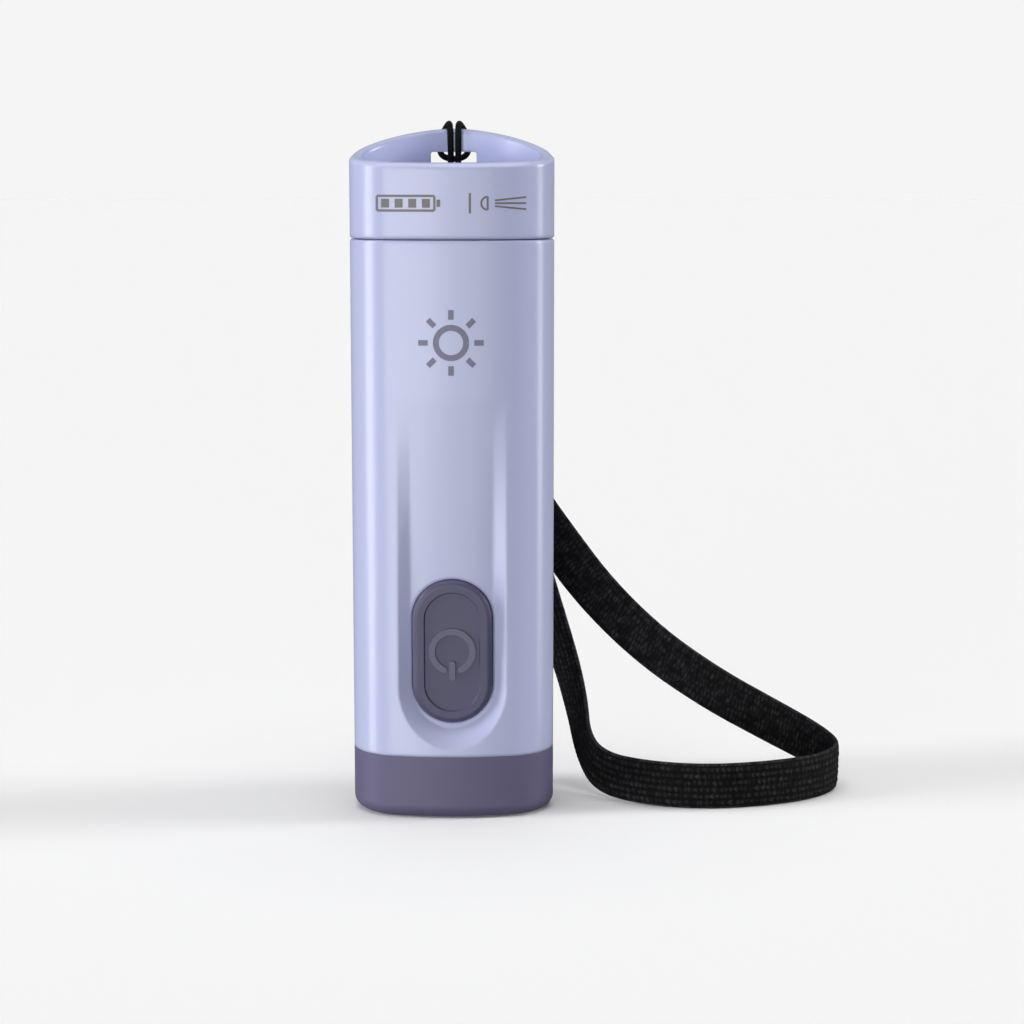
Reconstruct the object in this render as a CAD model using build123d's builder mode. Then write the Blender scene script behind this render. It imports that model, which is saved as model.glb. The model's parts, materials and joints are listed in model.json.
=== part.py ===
from build123d import *
import os
from math import atan2, cos, degrees, pi, radians, sin, sqrt, tan

# Keychain flashlight with a pull-off tail cap, a sprung front button and a webbing wrist loop.
# Millimetres. The light end is down: the origin is at the middle of the base, +Z runs up the
# body, and -Y is the front, where the button is.

# ---------------------------------------------------------------- driving dimensions

WIDTH = 26.0
DEPTH = 18.9
WALL = 1.6

# The section is a rounded triangle: a broad front arc, two corners, two side arcs and an apex.
FRONT_R = 34.0
CORNER_R = 7.0
SIDE_R = 18.0
APEX_R = 7.0

# Gap between inner pieces that are fitted by hand
FIT_GAP = 0.05

# Seams, and the side view of the tail cap's slanted rim as (y, z)
BEZEL_TOP = 8.15
SHELL_TOP = 73.9
SEAM_GAP = 0.15
SEAM_EDGE = 0.18
RIM_FRONT = (-14.0, 82.75)
RIM_BEND = (-1.1, 84.3)
RIM_BACK = (14.0, 89.62)
RIM_BEND_R = 30.0
RIM_CHAMFER = 0.45
RIM_CLEAR = 100.0

# Hoop pocket, and the slot in its back wall
POCKET_FLOOR = 78.0
DECK_THICKNESS = 1.8
SLOT_WIDTH = 6.0
SLOT_HEIGHT = 3.6
SLOT_TOP = 84.85
SLOT_CORNER_R = 0.3

# Tail plug, its seal and its contact
PLUG_BOTTOM = 69.4
PLUG_GAP = 0.06
PLUG_WALL = 1.8
GROOVE_BOTTOM = 70.6
GROOVE_HEIGHT = 1.3
GROOVE_DEPTH = 0.9
RING_GAP = 0.03
RING_EDGE_R = 0.35
PLATE_BOTTOM = 74.2
PLATE_THICKNESS = 0.5
PLATE_GAP = 0.1
PLATE_SCREW = (6.5, -1.5)
PLATE_BOSS_R = 1.6
SPRING_R = 3.0
SPRING_WIRE_R = 0.3
SPRING_TURNS = 4
FINGER_X = 8.75
FINGER_WIDTH = 2.8
FINGER_THICKNESS = 0.4

# Scoop in the front, and the button that lies in it
SCOOP_TOP = 54.0
SCOOP_SLOPE = 2.15
SCOOP_FOOT_R = 5.3
SCOOP_RIM_R = 6.88
SCOOP_RUN_OUT = 2.0
SCOOP_REACH = 6.0
BACKING_LENGTH = 45.0
BACKING_R = 8.2
BUTTON_Z = 21.75
BUTTON_WIDTH = 10.2
BUTTON_LENGTH = 18.7
BUTTON_PROUD = 0.75
BUTTON_GAP = 0.08
BUTTON_EDGE_R = 0.7
DISH_WIDTH = 6.9
DISH_LENGTH = 15.3
DISH_DEPTH = 0.3
DISH_WALL_ANGLE = 30.0
BUTTON_TRAVEL = 0.5
BUTTON_WALL = 1.6
FLANGE_LIP = 0.8
FLANGE_THICKNESS = 0.6
POST_R = 1.5
TRAY_LIP = 1.8
TRAY_GAP = 0.1
RETAINER_THICKNESS = 0.5
SWITCH_WINDOW_GAP = 0.5
SWITCH_SIZE = 5.0
SWITCH_HEIGHT = 1.3
SWITCH_FLOOR = 0.1
SWITCH_CORNER_R = 0.3
PLUNGER_R = 1.2
PLUNGER_LENGTH = 1.15
BOARD_REST_Y = 8.5
BOARD_REST = (6.0, 1.2)
BOARD_REST_HEIGHT = 1.0
BOARD_THICKNESS = 0.8
BOARD_CORNER_R = 0.6
BOARD_WIDTH = 11.0
BOARD_BOTTOM_Y = -9.15
BOARD_TOP_Y = 11.0
# Parts on the driver board: x, y, width, height and rise
CHIPS = [
    (-3.6, 5.2, 2.8, 2.8, 0.8),
    (3.6, 5.4, 3.0, 3.0, 0.85),
    (-3.8, -5.4, 1.6, 0.8, 0.6),
    (-1.4, -5.6, 0.8, 1.6, 0.6),
    (3.4, -5.2, 2.0, 1.2, 0.7),
]

# Power symbol, about the button's centre
SYMBOL_CENTRE = 0.1
SYMBOL_RING_R = 2.6
SYMBOL_STROKE = 0.78
SYMBOL_GAP_ANGLE = 25.0
SYMBOL_BAR_BOTTOM = -3.66
SYMBOL_BAR_TOP = -1.15

# AAA cell, and where it stands
CELL_R = 5.25
CELL_LENGTH = 44.5
CELL_BOTTOM = 24.0
CELL_Y = 2.3
CELL_NUB_R = 1.9
CELL_NUB_HEIGHT = 0.8
SLEEVE_THICKNESS = 0.15
SLEEVE_MARGIN = 0.2

# Light engine in the bezel
BEZEL_EDGE_R = 1.7
BEZEL_WALL = 2.85
ENGINE_BORE_R = 7.75
WINDOW_R = 6.5
WINDOW_RIM = 1.0
WINDOW_CHAMFER = 0.4
LENS_R = 7.65
LENS_THICKNESS = 1.4
LENS_CHAMFER = 0.15
SEAL_R = 7.0
SEAL_WIRE_R = 0.45
REFLECTOR_FLANGE = 0.8
REFLECTOR_SKIN = 0.7
REFLECTOR_STEP = 0.2
REFLECTOR_HEIGHT = 5.8
MOUTH_R = 6.3
THROAT_R = 2.55
LED_SIZE = 3.45
LED_CORNER_R = 0.3
LED_DOME_R = 1.3
LED_BOARD_R = 6.0
LED_BOARD_THICKNESS = 0.8
SPREADER_R = 6.4
SPREADER_THICKNESS = 1.5
ENGINE_SCREW = (8.5, -1.5)
ENGINE_BOSS_R = 1.7
LED_HEIGHT = 0.8
LED_PIN_X = 1.5
LED_PIN_Y = -3.2
LED_PIN_R = 0.35
LED_PIN_LENGTH = 2.8
SPREADER_EAR_X = 9.8
SPREADER_EAR_WIDTH = 4.2
SPREADER_CORNER_R = 1.0
PIN_WINDOW = (6.0, 2.0)
SPREADER_FRONT = -4.2
LENS_RING_R = 8.7
LENS_RING_TOP = 5.0
BEZEL_FLOOR = 4.0
SPIGOT_TOP = 12.1
TONGUE_INNER_X = 6.0
TONGUE_FRONT = -3.5
SCREW_R = 0.8
SCREW_GAP = 0.02
SCREW_LENGTH = 4.5
SCREW_GRIP = 4.0
SCREW_HEAD = (1.4, 1.0)
SMALL_SCREW_R = 0.55
SMALL_SCREW_LENGTH = 2.3
SMALL_SCREW_GRIP = 2.0
SMALL_SCREW_HEAD = (1.2, 0.6)
# Hexagon socket, as shares of the head's radius and height
SOCKET_SIZE = 0.45
SOCKET_DEPTH = 0.5

# Inner frame
FRAME_GAP = 0.15
FRAME_FRONT = -1.9
FRAME_TOP = 68.4
FRAME_DECK = 1.5
FRAME_CHAMBER_WIDTH = 15.0
CELL_CLEARANCE = 0.15
CONTACT_THICKNESS = 0.4
CONTACT_WIDTH = 5.0
CONTACT_RISE = 0.7
CONTACT_BUMP_R = 1.2
STRIP_THICKNESS = 0.3
STRIP_X = 8.4
STRIP_WIDTH = 2.8
STRIP_BOTTOM = 28.0
STRIP_TAB = 3.0
STRIP_LAP = 1.6
LEG_X = 4.8
LEG_WIDTH = 0.6
LEG_REACH = 1.4
CONTACT_FRONT = -3.15
CONTACT_REAR = 5.0
FRAME_GRIP = 0.6
FRAME_WINDOWS = 3
WINDOW_BOTTOM = 25.3
WINDOW_HEIGHT = 11.5
WINDOW_PITCH = 14.0
WINDOW_Y = 2.0
WINDOW_WIDTH = 5.0
WINDOW_INNER_X = 6.8
SCREW_RECESS = (1.7, 0.6)

# Lanyard: a thin cord, hitched to the slot, carries a loop of flat webbing
CORD_DIAMETER = 0.8
STRAP_TUBE_DIAMETER = 2.7
# Share of a run that each of its two arcs may take
RUN_SHARE = 0.45
CLAMP_CENTRE = (7.5, 13.5)
CLAMP_BOTTOM = 46.0
CLAMP_TOP = 53.0
CLAMP_WIDTH = 7.6
CLAMP_DEPTH = 4.2
CLAMP_EDGE_R = 0.8

# Left leg of the cord from the clamp up to the slot, in through the slot, up the inside of the
# hoop, over its rim and down its back
LEFT_LEG = [
    (7.05, 13.5, 53.0),
    (7.05, 13.5, 57.0),
    (6.3, 13.3, 63.6),
    (4.2, 12.8, 70.6),
    (1.5, 12.0, 76.2),
    (-0.15, 11.2, 79.3),
    (-0.5, 10.35, 81.1),
    (-0.5, 8.9, 82.45),
    (-0.5, 7.6, 83.7),
    (-0.5, 7.33, 85.3),
    (-0.5, 7.3, 86.95),
    (-0.55, 7.5, 88.15),
    (-0.75, 8.75, 88.7),
    (-1.25, 9.95, 88.1),
    (-1.75, 10.15, 86.8),
    (-2.0, 10.0, 85.5),
    (-1.65, 10.1, 84.35),
    (-0.6, 10.3, 83.95),
]
# The right leg from the back of the hoop down to the clamp
RIGHT_LEG = [
    (0.6, 10.3, 83.95),
    (1.65, 10.1, 84.35),
    (2.05, 10.0, 85.5),
    (1.85, 10.15, 86.8),
    (1.3, 9.95, 88.1),
    (0.75, 8.75, 88.7),
    (0.55, 7.5, 88.15),
    (0.5, 7.3, 86.95),
    (0.5, 7.33, 85.3),
    (0.5, 7.6, 83.7),
    (0.5, 8.9, 82.45),
    (0.6, 10.35, 81.1),
    (1.1, 11.2, 79.3),
    (2.75, 12.05, 76.2),
    (5.3, 12.85, 70.6),
    (7.35, 13.3, 63.6),
    (7.95, 13.5, 57.0),
    (7.95, 13.5, 53.0),
]
CORD_ROUTE = LEFT_LEG + RIGHT_LEG

# Webbing loop: down from the clamp beside the body, round its far end, along the table in front
# of the body's right side, round to the back again and up to the clamp
STRAP_ROUTE = [
    (9.0, 12.9, 46.0),
    (9.0, 12.9, 42.5),
    (10.4, 13.5, 38.0),
    (13.6, 14.2, 32.7),
    (19.2, 14.6, 25.1),
    (26.8, 14.9, 17.6),
    (35.4, 15.1, 11.6),
    (43.6, 14.5, 7.2),
    (49.6, 12.2, 4.3),
    (51.9, 7.2, 3.3),
    (49.0, 1.6, 3.0),
    (42.0, -2.7, 3.05),
    (33.5, -4.6, 3.0),
    (25.5, -3.0, 3.05),
    (19.4, 2.0, 3.2),
    (17.3, 8.2, 5.2),
    (16.5, 12.2, 10.2),
    (14.8, 13.9, 16.6),
    (12.0, 14.3, 24.4),
    (8.7, 14.2, 32.4),
    (6.5, 14.15, 38.2),
    (6.0, 14.1, 42.4),
    (6.0, 14.1, 46.0),
]

# ---------------------------------------------------------------- the section's arcs


def point_at(first, first_reach, second, second_reach):
    """The point at two given distances from two centres, left of the line between them."""
    dx = second[0] - first[0]
    dy = second[1] - first[1]
    gap = sqrt(dx**2 + dy**2)
    along = (first_reach**2 - second_reach**2 + gap**2) / (2 * gap)
    across = sqrt(first_reach**2 - along**2)
    return (
        first[0] + (along * dx - across * dy) / gap,
        first[1] + (along * dy + across * dx) / gap,
    )


def direction(start, end):
    """Angle of the line from start to end, in degrees."""
    return degrees(atan2(end[1] - start[1], end[0] - start[0]))


FRONT_CENTRE = (0.0, FRONT_R - DEPTH / 2)
APEX_CENTRE = (0.0, DEPTH / 2 - APEX_R)
CORNER_X = WIDTH / 2 - CORNER_R
CORNER_CENTRE = (CORNER_X, FRONT_CENTRE[1] - sqrt((FRONT_R - CORNER_R) ** 2 - CORNER_X**2))
SIDE_CENTRE = point_at(CORNER_CENTRE, SIDE_R - CORNER_R, APEX_CENTRE, SIDE_R - APEX_R)
FRONT_END = direction(FRONT_CENTRE, CORNER_CENTRE)
CORNER_END = direction(SIDE_CENTRE, CORNER_CENTRE)
SIDE_END = direction(SIDE_CENTRE, APEX_CENTRE)
RIGHT_ARCS = [
    (CORNER_CENTRE, CORNER_R, FRONT_END, CORNER_END),
    (SIDE_CENTRE, SIDE_R, CORNER_END, SIDE_END),
]


def section(inset):
    """Add the face of the body's section, moved in by inset all round."""
    with BuildLine() as arcs:
        CenterArc(FRONT_CENTRE, FRONT_R - inset, -180 - FRONT_END, 180 + 2 * FRONT_END)
        CenterArc(APEX_CENTRE, APEX_R - inset, SIDE_END, 180 - 2 * SIDE_END)
        for (x, y), radius, start, end in RIGHT_ARCS:
            CenterArc((x, y), radius - inset, start, end - start)
            CenterArc((-x, y), radius - inset, 180 - end, end - start)
    make_face(arcs.edges())


# ---------------------------------------------------------------- the scoop's tilted floor

# Level 0 is the floor of the scoop on its centre line, and outward levels are positive.
SLOPE = radians(SCOOP_SLOPE)
FLOOR_PLANE = Plane(
    origin=(0, -DEPTH / 2 + (SCOOP_TOP - BUTTON_Z) * tan(SLOPE), BUTTON_Z),
    x_dir=(1, 0, 0),
    z_dir=(0, -cos(SLOPE), -sin(SLOPE)),
)
TILTED_SECTION = Plane(
    origin=FLOOR_PLANE.origin - FLOOR_PLANE.z_dir * (DEPTH / 2),
    x_dir=(1, 0, 0),
    z_dir=FLOOR_PLANE.y_dir,
)
FLOOR_SAG = FRONT_R - sqrt(FRONT_R**2 - SCOOP_FOOT_R**2)
RIM_SAG = FRONT_R - sqrt(FRONT_R**2 - SCOOP_RIM_R**2)
SCOOP_END = (BUTTON_WIDTH - BUTTON_LENGTH) / 2
SCOOP_START = (SCOOP_TOP - BUTTON_Z) / cos(SLOPE)

FLANGE_FRONT = -BUTTON_WALL - FIT_GAP
FLANGE_BACK = FLANGE_FRONT - FLANGE_THICKNESS
RETAINER_FRONT = FLANGE_BACK - BUTTON_TRAVEL - FIT_GAP
RETAINER_BACK = RETAINER_FRONT - RETAINER_THICKNESS
BOARD_FRONT = RETAINER_BACK - BOARD_REST_HEIGHT
BOARD_BACK = BOARD_FRONT - BOARD_THICKNESS
SWITCH_TOP = BOARD_FRONT + SWITCH_HEIGHT
PLUNGER_TIP = SWITCH_TOP + BUTTON_TRAVEL + FIT_GAP

PLUG_INSET = WALL + PLUG_GAP
PLATE_TOP = PLATE_BOTTOM + PLATE_THICKNESS
PLATE_SCREWS = [(-PLATE_SCREW[0], PLATE_SCREW[1]), PLATE_SCREW]
ENGINE_SCREWS = [(-ENGINE_SCREW[0], ENGINE_SCREW[1]), ENGINE_SCREW]
SPRING_BOTTOM = CELL_BOTTOM + CELL_LENGTH + SPRING_WIRE_R + FIT_GAP
FINGER_BOTTOM = FRAME_TOP + STRIP_THICKNESS + FIT_GAP
SPRING_HEIGHT = PLATE_BOTTOM - SPRING_WIRE_R - SPRING_BOTTOM
REFLECTOR_BOTTOM = WINDOW_RIM + LENS_THICKNESS + 2 * SEAL_WIRE_R
REFLECTOR_TOP = REFLECTOR_BOTTOM + REFLECTOR_HEIGHT
SPREADER_BOTTOM = REFLECTOR_TOP + LED_BOARD_THICKNESS
SPREADER_TOP = SPREADER_BOTTOM + SPREADER_THICKNESS
FRAME_FLOOR = CELL_BOTTOM - CONTACT_RISE

# The reflector's bowl is a parabola, drawn as a curve with one control point: (radius, height)
THROAT_Z = REFLECTOR_TOP - LED_HEIGHT
BOWL_RATE = (MOUTH_R**2 - THROAT_R**2) / (THROAT_Z - REFLECTOR_BOTTOM)
BOWL_X = (MOUTH_R + THROAT_R) / 2
MOUTH = (MOUTH_R, REFLECTOR_BOTTOM)
BOWL = (BOWL_X, THROAT_Z - 2 * THROAT_R / BOWL_RATE * (BOWL_X - THROAT_R))
THROAT = (THROAT_R, THROAT_Z)
THROAT_BACK = (THROAT_R + REFLECTOR_SKIN, REFLECTOR_TOP)
BOWL_BACK = (BOWL[0] + REFLECTOR_SKIN, BOWL[1] + REFLECTOR_SKIN)
MOUTH_BACK = (MOUTH_R + REFLECTOR_SKIN, REFLECTOR_BOTTOM + REFLECTOR_FLANGE)
FLANGE_INNER = (MOUTH_R + REFLECTOR_SKIN + REFLECTOR_STEP, REFLECTOR_BOTTOM + REFLECTOR_FLANGE)
FLANGE_TOP = (LENS_R, REFLECTOR_BOTTOM + REFLECTOR_FLANGE)
FLANGE_FOOT = (LENS_R, REFLECTOR_BOTTOM)


def rim_level(height):
    """Level of the scoop's rim at that height above the button's centre."""
    return (SCOOP_START - height) * tan(SLOPE) - RIM_SAG


def scoop_section(height):
    """Section of the scoop, square to its floor: a flat foot, and walls that end at its rim."""
    rim = -rim_level(height)
    with BuildSketch(
        Plane(
            origin=FLOOR_PLANE.from_local_coords((0, height, 0)),
            x_dir=(1, 0, 0),
            z_dir=FLOOR_PLANE.y_dir,
        )
    ) as trapezium:
        Polygon(
            (-SCOOP_RIM_R, -SCOOP_REACH),
            (-SCOOP_RIM_R, rim),
            (-SCOOP_FOOT_R, FLOOR_SAG),
            (SCOOP_FOOT_R, FLOOR_SAG),
            (SCOOP_RIM_R, rim),
            (SCOOP_RIM_R, -SCOOP_REACH),
            align=None,
        )
    return trapezium.sketch


def pill(width, length, mode=Mode.ADD):
    """Upright stadium face about the button's centre."""
    SlotOverall(length, width, rotation=90, mode=mode)


def corner_radii(points):
    """Radius of the arc at each inner point, as large as its two runs allow."""
    radii = []
    for before, here, after in zip(points, points[1:], points[2:]):
        run_in = Vector(*here) - Vector(*before)
        run_out = Vector(*after) - Vector(*here)
        half_turn = radians(run_in.get_angle(run_out)) / 2
        radii.append(RUN_SHARE * min(run_in.length, run_out.length) / tan(half_turn))
    return radii


# The round end's wall leans so that it meets the channel's walls
SCOOP_WALL_ANGLE = degrees(atan2(SCOOP_RIM_R - SCOOP_FOOT_R, rim_level(SCOOP_END) + FLOOR_SAG))

os.makedirs("parts", exist_ok=True)

# ================================================================ housing

# ---- scoop cutter: a channel of even width that fades out upwards and has a round lower end.
# Its floor is the section's front, tilted.
with BuildPart() as scoop:
    loft([scoop_section(SCOOP_END), scoop_section(SCOOP_START + SCOOP_RUN_OUT)], ruled=True)
    with BuildSketch(FLOOR_PLANE.offset(-FLOOR_SAG)):
        with Locations((0, SCOOP_END)):
            Circle(SCOOP_FOOT_R)
    extrude(amount=SCOOP_REACH, taper=-SCOOP_WALL_ANGLE)
    with BuildSketch(TILTED_SECTION):
        section(0)
    extrude(amount=2 * BACKING_LENGTH, both=True, mode=Mode.SUBTRACT)

# ---- backing: keeps the wall behind the scoop at full thickness
with BuildPart() as backing:
    with BuildSketch(FLOOR_PLANE.offset(-BUTTON_WALL)):
        with Locations((0, SCOOP_END)):
            Circle(BACKING_R)
        with Locations((0, SCOOP_END + BACKING_LENGTH / 2)):
            Rectangle(2 * BACKING_R, BACKING_LENGTH)
    extrude(amount=SCOOP_REACH)
    with BuildSketch(Plane.XY.offset(BEZEL_TOP)):
        section(0)
    extrude(amount=SHELL_TOP - BEZEL_TOP, mode=Mode.INTERSECT)

# ---- main shell: the long tube of the body
with BuildPart() as main_shell:
    with BuildSketch(Plane.XY.offset(BEZEL_TOP)):
        section(0)
    extrude(amount=SHELL_TOP - BEZEL_TOP)
    chamfer(main_shell.edges().group_by(Axis.Z)[-1], SEAM_EDGE)
    with BuildSketch(Plane.XY.offset(BEZEL_TOP)):
        section(WALL)
    extrude(amount=SHELL_TOP - BEZEL_TOP, mode=Mode.SUBTRACT)
    add(backing.part)
    add(scoop.part, mode=Mode.SUBTRACT)
    with BuildSketch(FLOOR_PLANE):
        pill(BUTTON_WIDTH + 2 * BUTTON_GAP, BUTTON_LENGTH + 2 * BUTTON_GAP)
    extrude(amount=SCOOP_REACH, both=True, mode=Mode.SUBTRACT)
main_shell.part.label = "main_shell"
export_step(main_shell.part, "parts/main_shell.step")

# ---- light bezel: the dark foot that holds the lens, with two tongues that reach into the shell
with BuildPart() as light_bezel:
    with BuildSketch():
        section(0)
    extrude(amount=BEZEL_TOP)
    fillet(light_bezel.edges().group_by(Axis.Z)[0], BEZEL_EDGE_R)
    with BuildSketch(Plane.XY.offset(BEZEL_TOP)):
        section(WALL + FIT_GAP)
        with Locations((0, TONGUE_FRONT - WIDTH / 2)):
            Rectangle(2 * WIDTH, WIDTH, mode=Mode.SUBTRACT)
        Rectangle(2 * TONGUE_INNER_X, 2 * WIDTH, mode=Mode.SUBTRACT)
    extrude(amount=SPIGOT_TOP - BEZEL_TOP)
    with BuildSketch(Plane.XY.offset(BEZEL_FLOOR)):
        section(BEZEL_WALL)
    extrude(amount=SPIGOT_TOP, mode=Mode.SUBTRACT)
    with BuildSketch(Plane.XY.offset(WINDOW_RIM)):
        Circle(LENS_RING_R)
    extrude(amount=LENS_RING_TOP - WINDOW_RIM)
    with BuildSketch(Plane.XY.offset(BEZEL_FLOOR)):
        with Locations(*ENGINE_SCREWS):
            Circle(ENGINE_BOSS_R)
    extrude(amount=SPREADER_BOTTOM - BEZEL_FLOOR)
    with BuildSketch(Plane.XY.offset(WINDOW_RIM)):
        Circle(ENGINE_BORE_R)
    extrude(amount=BEZEL_TOP, mode=Mode.SUBTRACT)
    with BuildSketch():
        Circle(WINDOW_R)
    extrude(amount=BEZEL_TOP, mode=Mode.SUBTRACT)
    chamfer(light_bezel.edges().filter_by(GeomType.CIRCLE).group_by(Axis.Z)[0], WINDOW_CHAMFER)
    with BuildSketch(Plane.XY.offset(SPREADER_BOTTOM - SCREW_LENGTH)):
        with Locations(*ENGINE_SCREWS):
            Circle(SCREW_R + SCREW_GAP)
    extrude(amount=SCREW_LENGTH, mode=Mode.SUBTRACT)
light_bezel.part.label = "light_bezel"
export_step(light_bezel.part, "parts/light_bezel.step")

# ---- tail cap: plug, deck, and the open hoop with its slanted rim
with BuildPart() as tail_cap:
    with BuildSketch(Plane.XY.offset(SHELL_TOP + SEAM_GAP)):
        section(0)
    extrude(amount=RIM_CLEAR - SHELL_TOP)
    chamfer(tail_cap.edges().group_by(Axis.Z)[0], SEAM_EDGE)
    with BuildSketch(Plane.YZ):
        with BuildLine():
            FilletPolyline(RIM_FRONT, RIM_BEND, RIM_BACK, radius=RIM_BEND_R)
            Polyline(RIM_BACK, (RIM_BACK[0], 2 * RIM_CLEAR), (RIM_FRONT[0], 2 * RIM_CLEAR), RIM_FRONT)
        make_face()
    extrude(amount=WIDTH, both=True, mode=Mode.SUBTRACT)
    rim = tail_cap.edges().filter_by(lambda edge: edge.bounding_box().min.Z > RIM_FRONT[1] - RIM_CHAMFER)
    chamfer(rim, RIM_CHAMFER)
    with BuildSketch(Plane.XY.offset(POCKET_FLOOR)):
        section(WALL)
    extrude(amount=RIM_CLEAR, mode=Mode.SUBTRACT)
    with BuildSketch(Plane.XY.offset(PLUG_BOTTOM)):
        section(PLUG_INSET)
    extrude(amount=SHELL_TOP + SEAM_GAP - PLUG_BOTTOM)
    with BuildSketch(Plane.XY.offset(PLUG_BOTTOM)):
        section(PLUG_INSET + PLUG_WALL)
    extrude(amount=POCKET_FLOOR - DECK_THICKNESS - PLUG_BOTTOM, mode=Mode.SUBTRACT)
    with BuildSketch(Plane.XY.offset(GROOVE_BOTTOM)):
        section(0)
    extrude(amount=GROOVE_HEIGHT, mode=Mode.SUBTRACT)
    with BuildSketch(Plane.XY.offset(GROOVE_BOTTOM)):
        section(PLUG_INSET + GROOVE_DEPTH)
    extrude(amount=GROOVE_HEIGHT)
    with BuildSketch(Plane.XY.offset(GROOVE_BOTTOM)):
        section(PLUG_INSET + PLUG_WALL)
    extrude(amount=GROOVE_HEIGHT, mode=Mode.SUBTRACT)
    with BuildSketch(Plane.XZ.offset(-DEPTH)):
        with Locations((0, SLOT_TOP - SLOT_HEIGHT / 2)):
            RectangleRounded(SLOT_WIDTH, SLOT_HEIGHT, SLOT_CORNER_R)
    extrude(amount=DEPTH - APEX_CENTRE[1], mode=Mode.SUBTRACT)
    with BuildSketch(Plane.XY.offset(PLATE_TOP)):
        with Locations(*PLATE_SCREWS):
            Circle(PLATE_BOSS_R)
    extrude(amount=POCKET_FLOOR - DECK_THICKNESS - PLATE_TOP)
    with BuildSketch(Plane.XY.offset(PLATE_TOP)):
        with Locations(*PLATE_SCREWS):
            Circle(SMALL_SCREW_R + SCREW_GAP)
    extrude(amount=SMALL_SCREW_LENGTH, mode=Mode.SUBTRACT)
tail_cap.part.label = "tail_cap"
export_step(tail_cap.part, "parts/tail_cap.step")

# ---- tail ring: the rubber seal round the plug
with BuildPart() as tail_ring:
    with BuildSketch(Plane.XY.offset(GROOVE_BOTTOM + FIT_GAP)):
        section(WALL + RING_GAP)
    extrude(amount=GROOVE_HEIGHT - 2 * FIT_GAP)
    fillet(tail_ring.edges(), RING_EDGE_R)
    with BuildSketch(Plane.XY.offset(GROOVE_BOTTOM)):
        section(PLUG_INSET + GROOVE_DEPTH)
    extrude(amount=GROOVE_HEIGHT, mode=Mode.SUBTRACT)
tail_ring.part.label = "tail_ring"
export_step(tail_ring.part, "parts/tail_ring.step")

# ================================================================ button

# ---- button pad: stadium with a rounded edge, a dished face, a flange behind and a post
with BuildPart() as button_pad:
    with BuildSketch(FLOOR_PLANE.offset(FLANGE_FRONT)):
        pill(BUTTON_WIDTH, BUTTON_LENGTH)
    extrude(amount=BUTTON_PROUD - FLANGE_FRONT)
    fillet(button_pad.faces().sort_by(Axis.Y)[0].edges(), BUTTON_EDGE_R)
    with BuildSketch(FLOOR_PLANE.offset(BUTTON_PROUD - DISH_DEPTH)):
        pill(DISH_WIDTH, DISH_LENGTH)
    extrude(amount=DISH_DEPTH, taper=-DISH_WALL_ANGLE, mode=Mode.SUBTRACT)
    with BuildSketch(FLOOR_PLANE.offset(FLANGE_BACK)):
        pill(BUTTON_WIDTH + 2 * FLANGE_LIP, BUTTON_LENGTH + 2 * FLANGE_LIP)
    extrude(amount=FLANGE_THICKNESS)
    with BuildSketch(FLOOR_PLANE.offset(PLUNGER_TIP)):
        Circle(POST_R)
    extrude(amount=FLANGE_BACK - PLUNGER_TIP)
button_pad.part.label = "button_pad"
export_step(button_pad.part, "parts/button_pad.step")

# ---- power symbol: open ring and bar, raised from the button's dish
with BuildPart() as power_symbol:
    with BuildSketch(FLOOR_PLANE.offset(BUTTON_PROUD - DISH_DEPTH)):
        with BuildLine(mode=Mode.PRIVATE) as ring_line:
            CenterArc(
                (0, SYMBOL_CENTRE),
                SYMBOL_RING_R,
                SYMBOL_GAP_ANGLE - 90,
                360 - 2 * SYMBOL_GAP_ANGLE,
            )
        SlotArc(ring_line.edges()[0], SYMBOL_STROKE)
        with Locations((0, (SYMBOL_BAR_BOTTOM + SYMBOL_BAR_TOP) / 2)):
            SlotOverall(SYMBOL_BAR_TOP - SYMBOL_BAR_BOTTOM, SYMBOL_STROKE, rotation=90)
    extrude(amount=DISH_DEPTH)
power_symbol.part.label = "power_symbol"
export_step(power_symbol.part, "parts/power_symbol.step")

# ---- button retainer: tray behind the flange, with a window for the switch and two board rests
with BuildPart() as button_retainer:
    with BuildSketch(FLOOR_PLANE.offset(RETAINER_BACK)):
        pill(BUTTON_WIDTH + 2 * TRAY_LIP, BUTTON_LENGTH + 2 * TRAY_LIP)
    extrude(amount=-BUTTON_WALL - RETAINER_BACK)
    with BuildSketch(FLOOR_PLANE.offset(RETAINER_FRONT)):
        pill(BUTTON_WIDTH + 2 * (FLANGE_LIP + TRAY_GAP), BUTTON_LENGTH + 2 * (FLANGE_LIP + TRAY_GAP))
    extrude(amount=-BUTTON_WALL - RETAINER_FRONT, mode=Mode.SUBTRACT)
    with BuildSketch(FLOOR_PLANE.offset(RETAINER_BACK)):
        Rectangle(SWITCH_SIZE + 2 * SWITCH_WINDOW_GAP, SWITCH_SIZE + 2 * SWITCH_WINDOW_GAP)
    extrude(amount=RETAINER_FRONT - RETAINER_BACK, mode=Mode.SUBTRACT)
    with BuildSketch(FLOOR_PLANE.offset(BOARD_FRONT)):
        with Locations((0, -BOARD_REST_Y), (0, BOARD_REST_Y)):
            Rectangle(*BOARD_REST)
    extrude(amount=RETAINER_BACK - BOARD_FRONT)
button_retainer.part.label = "button_retainer"
export_step(button_retainer.part, "parts/button_retainer.step")

# ---- tactile switch: housing with a blind bore, and the plunger that slides in it
with BuildPart() as switch_housing:
    with BuildSketch(FLOOR_PLANE.offset(BOARD_FRONT)):
        RectangleRounded(SWITCH_SIZE, SWITCH_SIZE, SWITCH_CORNER_R)
    extrude(amount=SWITCH_TOP - BOARD_FRONT)
    with BuildSketch(FLOOR_PLANE.offset(BOARD_FRONT + SWITCH_FLOOR)):
        Circle(PLUNGER_R + FIT_GAP)
    extrude(amount=SWITCH_TOP - BOARD_FRONT, mode=Mode.SUBTRACT)
switch_housing.part.label = "switch_housing"
export_step(switch_housing.part, "parts/switch_housing.step")

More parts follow.
